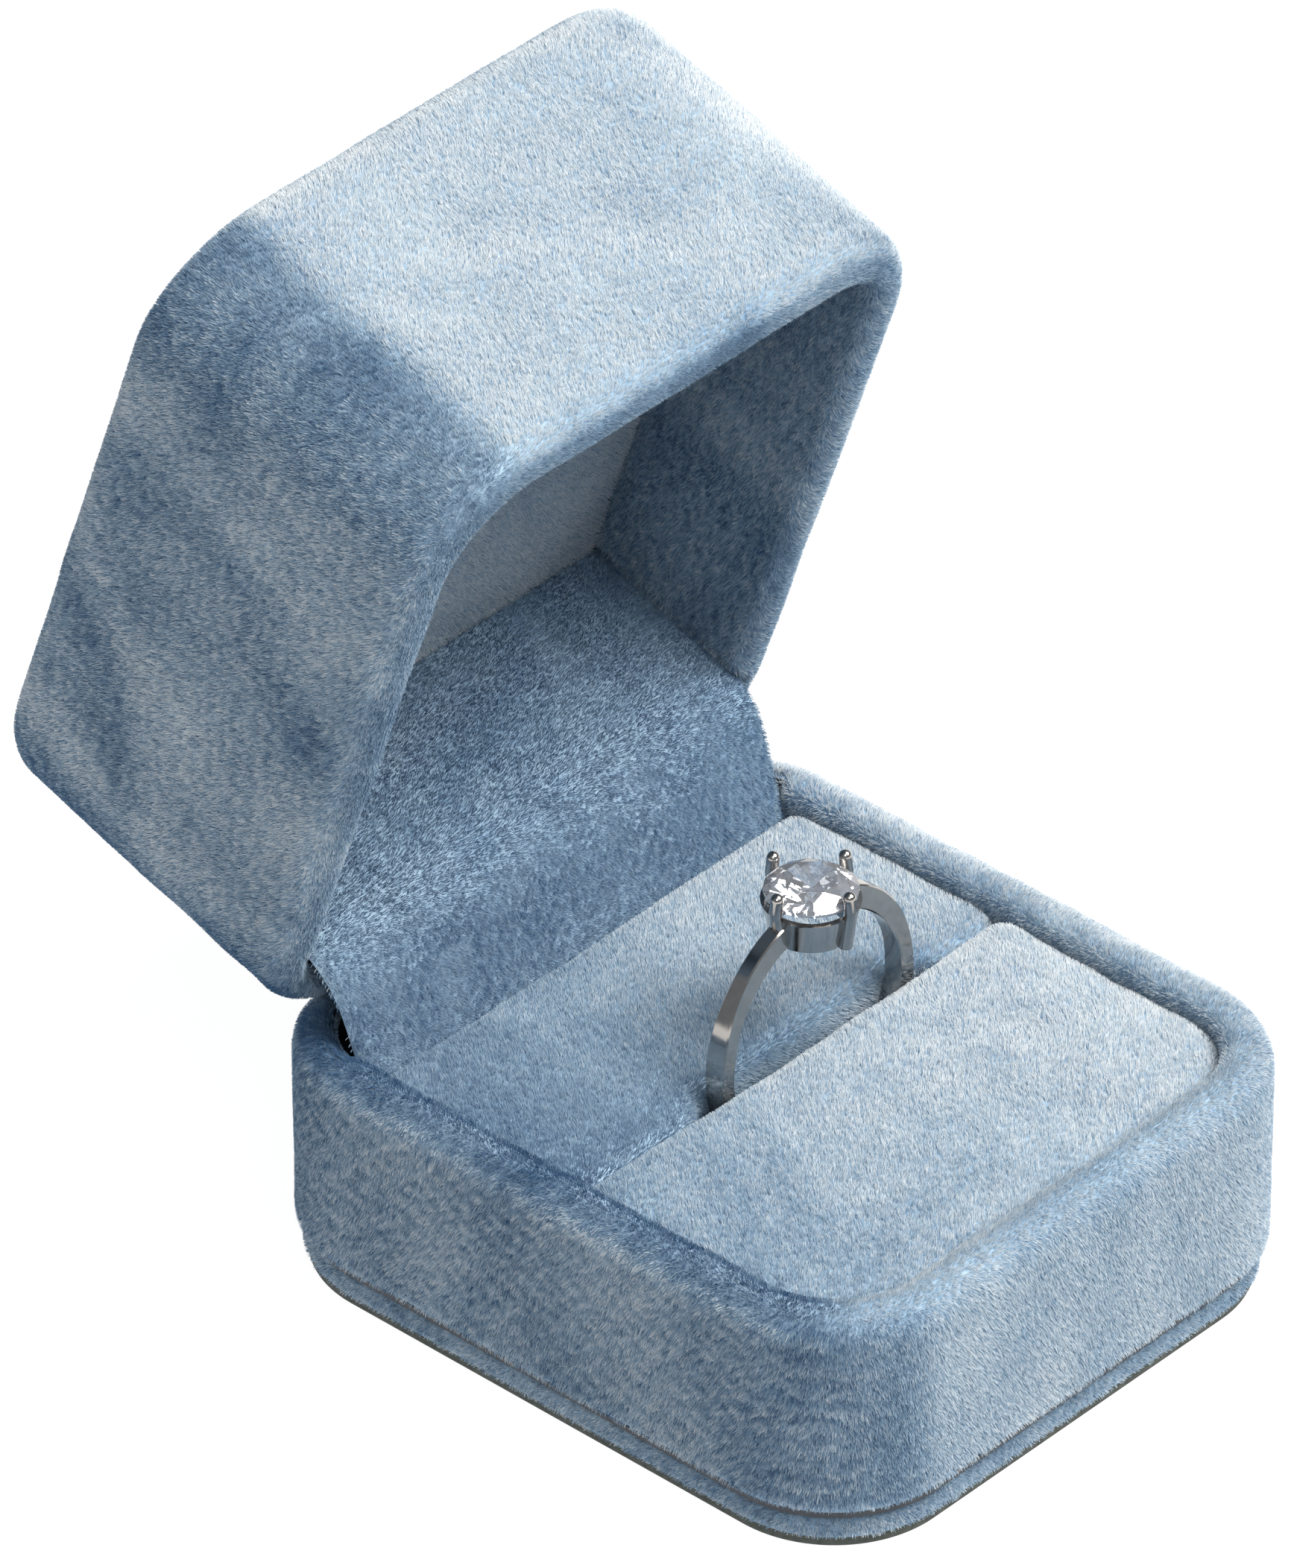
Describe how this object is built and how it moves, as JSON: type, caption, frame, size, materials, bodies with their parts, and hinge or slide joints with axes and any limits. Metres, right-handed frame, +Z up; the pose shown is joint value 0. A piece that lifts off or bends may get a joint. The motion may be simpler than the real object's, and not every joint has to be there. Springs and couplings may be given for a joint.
{
  "type": "ring box",
  "caption": "Small velvet-covered ring box with a hinged lid standing open, a cushion with a slot, a flap over the hinge and a solitaire ring.",
  "frame": {"origin": "centre of the flat underside of the base", "axes": "+X along the hinge, -Y towards the front, +Z up; the lid stands open towards +Y"},
  "size_m": [0.048, 0.0769, 0.0761],
  "materials": {
    "moulded_tray": "matt moulded plastic",
    "blue_velvet": "short brushed velvet pile, dusty blue",
    "card": "grey board",
    "foam": "soft foam",
    "plated_steel": "bright plated sheet and wire",
    "white_metal": "polished white gold",
    "clear_stone": "faceted clear stone"
  },
  "bodies": {
    "base": {"base_shell": "moulded_tray", "base_velvet": "blue_velvet", "bottom_board": "card", "bottom_velvet": "blue_velvet", "pad_card": "card", "rear_pad_foam": "foam", "rear_pad_velvet": "blue_velvet", "front_pad_foam": "foam", "front_pad_velvet": "blue_velvet", "base_hinge_leaf": "plated_steel", "base_leaf_rivets": "plated_steel", "hinge_pin": "plated_steel", "hinge_spring": "plated_steel"},
    "lid": {"lid_shell": "moulded_tray", "lid_velvet": "blue_velvet", "lid_filler_foam": "foam", "lid_ceiling_card": "card", "lid_ceiling_velvet": "blue_velvet", "lid_back_card": "card", "lid_back_velvet": "blue_velvet", "lid_hinge_leaf": "plated_steel", "lid_leaf_rivets": "plated_steel"},
    "hinge_flap": {"flap_card": "card", "flap_velvet": "blue_velvet"},
    "ring": {"ring_shank": "white_metal", "ring_head": "white_metal", "ring_stone": "clear_stone"}
  },
  "joints": [
    {"name": "lid_hinge", "type": "hinge", "parent": "base", "child": "lid", "pos_m": [0, 0.0247, 0.01936], "axis": [1, 0, 0], "range_deg": [0, 71.5], "deforming": ["hinge_spring"]},
    {"name": "flap_fold", "type": "hinge", "parent": "lid", "child": "hinge_flap", "pos_m": [0, 0.02443, 0.02423], "axis": [1, 0, 0], "range_deg": [-39, 0]},
    {"name": "ring_lift", "type": "slide", "parent": "base", "child": "ring", "axis": [0, 0, 1], "range_m": [0, 0.042]}
  ],
  "couplings": [
    {"joint": "flap_fold", "follows": "lid_hinge", "ratio": -0.543}
  ]
}
